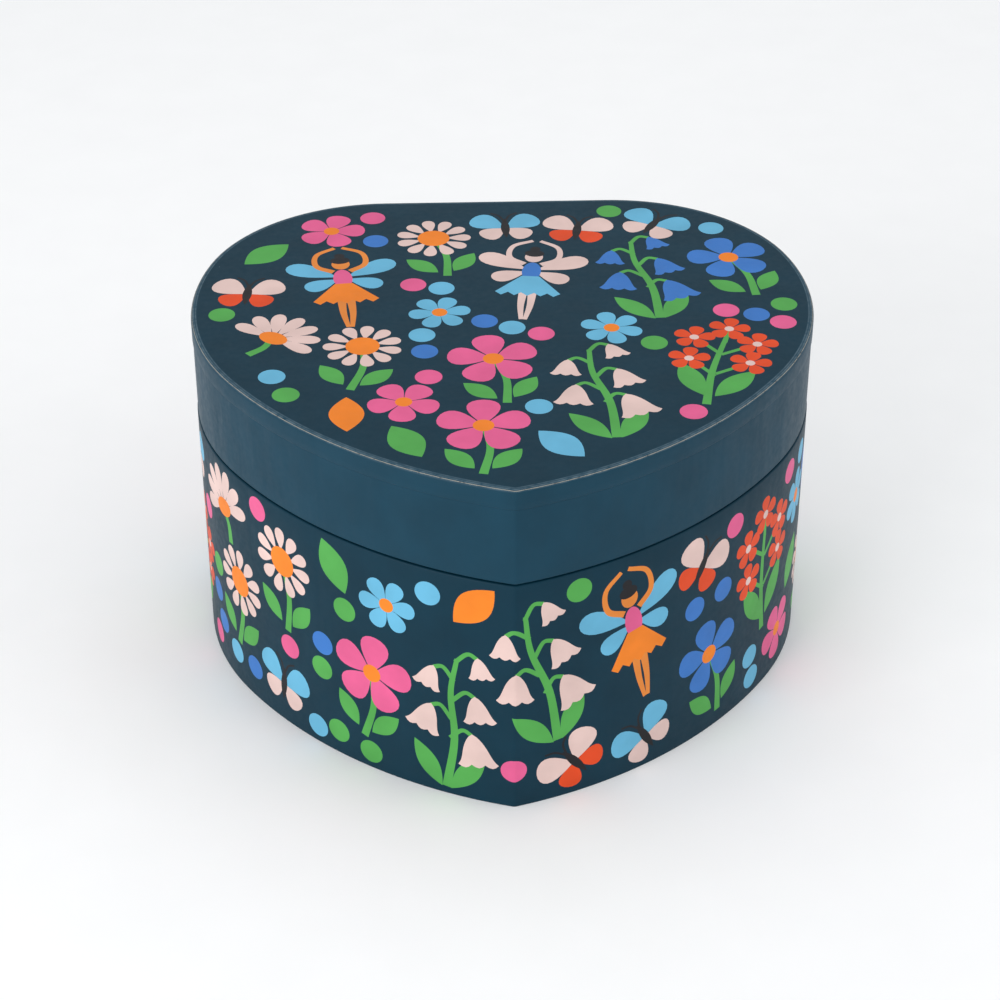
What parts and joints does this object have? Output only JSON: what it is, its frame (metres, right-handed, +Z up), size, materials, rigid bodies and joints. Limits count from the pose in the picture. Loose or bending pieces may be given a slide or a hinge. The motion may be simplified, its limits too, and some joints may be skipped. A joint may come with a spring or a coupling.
{
  "type": "wind up music box",
  "caption": "Heart-shaped paper-covered musical trinket box with a hinged lid, lined tray, mirror, turning figure and a wind-up comb movement under the deck.",
  "frame": {"origin": "middle of the flat base on the table, midway between the front point and the straight back, and midway between the two cheeks", "axes": "+Z up, -Y towards the pointed front, +Y towards the hinged straight back, +X to the right seen from the front"},
  "size_m": [0.16, 0.1624, 0.095],
  "materials": {
    "printed_paper": "satin printed paper",
    "rim_paper": "satin plain paper",
    "greyboard": "matt",
    "base_paper": "matt",
    "lining_velvet": "velvet",
    "lining_paper": "matt",
    "cushion_velvet": "velvet",
    "ribbon_satin": "satin",
    "hinge_cloth": "book cloth",
    "mirror_glass": "polished",
    "cork": "cork",
    "brass": "turned",
    "gilt_key": "plated",
    "bed_zinc": "die cast",
    "bright_steel": "ground",
    "spring_steel": "blued",
    "barrel_steel": "plated",
    "moulded_nylon": "moulded",
    "turntable_plastic": "moulded",
    "figure_plastic": "painted",
    "skirt_tulle": "stiffened",
    "wing_film": "film"
  },
  "bodies": {
    "case": {"base_board": "greyboard", "base_paper": "base_paper", "case_wall": "greyboard", "case_wrap": "printed_paper", "support_ring": "greyboard", "deck_board": "greyboard", "tray_lining": "lining_velvet", "neck_collar": "lining_paper", "key_escutcheon": "brass", "cross_divider": "lining_velvet", "centre_divider": "lining_velvet", "stage_side_walls": "lining_velvet", "stage_block": "lining_velvet", "ring_cushion_rolls": "cushion_velvet", "stop_guide": "moulded_nylon", "stay_ribbon": "ribbon_satin", "case_hinge_strip": "hinge_cloth", "bedplate": "bed_zinc", "movement_screws": "bright_steel", "bearing_posts": "bed_zinc", "rear_bracket": "bed_zinc", "governor_frame": "bright_steel", "click_spring": "spring_steel", "comb": "bright_steel", "comb_base": "bed_zinc", "comb_screws": "bright_steel"},
    "lid": {"lid_board": "greyboard", "lid_wall": "greyboard", "lid_rim_wrap": "rim_paper", "lid_top_sheet": "printed_paper", "lid_lining": "lining_paper", "mirror": "mirror_glass", "mirror_frame": "lining_paper", "presser_block": "cork", "lid_hinge_strip": "hinge_cloth"},
    "winding": {"winding_arbor": "bright_steel", "ratchet_wheel": "brass", "winding_key": "gilt_key"},
    "click": {"click": "bright_steel"},
    "barrel": {"spring_barrel": "barrel_steel", "barrel_cover": "barrel_steel", "great_wheel": "brass", "mainspring": "spring_steel"},
    "cylinder": {"cylinder_arbor": "bright_steel", "cylinder_drum": "brass", "cylinder_pins": "bright_steel", "cylinder_wheel": "brass"},
    "governor": {"governor_pinion": "bright_steel", "worm_wheel": "brass"},
    "fly": {"worm_shaft": "bright_steel", "fly_fan": "moulded_nylon"},
    "figure": {"figure_spindle": "bright_steel", "crown_wheel": "moulded_nylon", "turntable": "turntable_plastic", "figurine": "figure_plastic", "figurine_skirt": "skirt_tulle", "figurine_wings": "wing_film"},
    "stopper": {"stop_plunger": "bright_steel", "stop_wire": "bright_steel"}
  },
  "joints": [
    {"name": "lid_hinge", "type": "hinge", "parent": "case", "child": "lid", "pos_m": [0, 0.07215, 0.068], "axis": [-1, 0, 0], "range_deg": [0, 100]},
    {"name": "key_turn", "type": "hinge", "parent": "case", "child": "winding", "pos_m": [0, 0.06, 0.022], "axis": [0, 1, 0], "continuous": true},
    {"name": "click_pivot", "type": "hinge", "parent": "case", "child": "click", "pos_m": [-0.0105, 0.0639, 0.0255], "axis": [0, -1, 0], "range_deg": [0, 20], "stiffness_Nm_per_rad": 0.001, "springref_deg": -11.46},
    {"name": "barrel_turn", "type": "hinge", "parent": "case", "child": "barrel", "pos_m": [0, 0.05, 0.022], "axis": [0, 1, 0], "continuous": true},
    {"name": "cylinder_turn", "type": "hinge", "parent": "case", "child": "cylinder", "pos_m": [0.0224, 0.02, 0.022], "axis": [0, 1, 0], "continuous": true},
    {"name": "governor_turn", "type": "hinge", "parent": "case", "child": "governor", "pos_m": [0.0044, -0.009, 0.022], "axis": [0, 1, 0], "continuous": true},
    {"name": "fly_turn", "type": "hinge", "parent": "case", "child": "fly", "pos_m": [-0.0036, -0.00925, 0.03], "axis": [0, 0, 1], "continuous": true},
    {"name": "figure_turn", "type": "hinge", "parent": "case", "child": "figure", "pos_m": [0, 0.033, 0.05], "axis": [0, 0, 1], "continuous": true},
    {"name": "stop_plunger_slide", "type": "slide", "parent": "case", "child": "stopper", "axis": [0, 0, 1], "range_m": [0, 0.0032]}
  ],
  "couplings": [
    {"joint": "cylinder_turn", "follows": "barrel_turn", "ratio": -2.5},
    {"joint": "governor_turn", "follows": "barrel_turn", "ratio": 10},
    {"joint": "fly_turn", "follows": "barrel_turn", "ratio": -240},
    {"joint": "figure_turn", "follows": "barrel_turn", "ratio": -2},
    {"joint": "stop_plunger_slide", "follows": "lid_hinge", "m_per_rad": 0.001833}
  ]
}
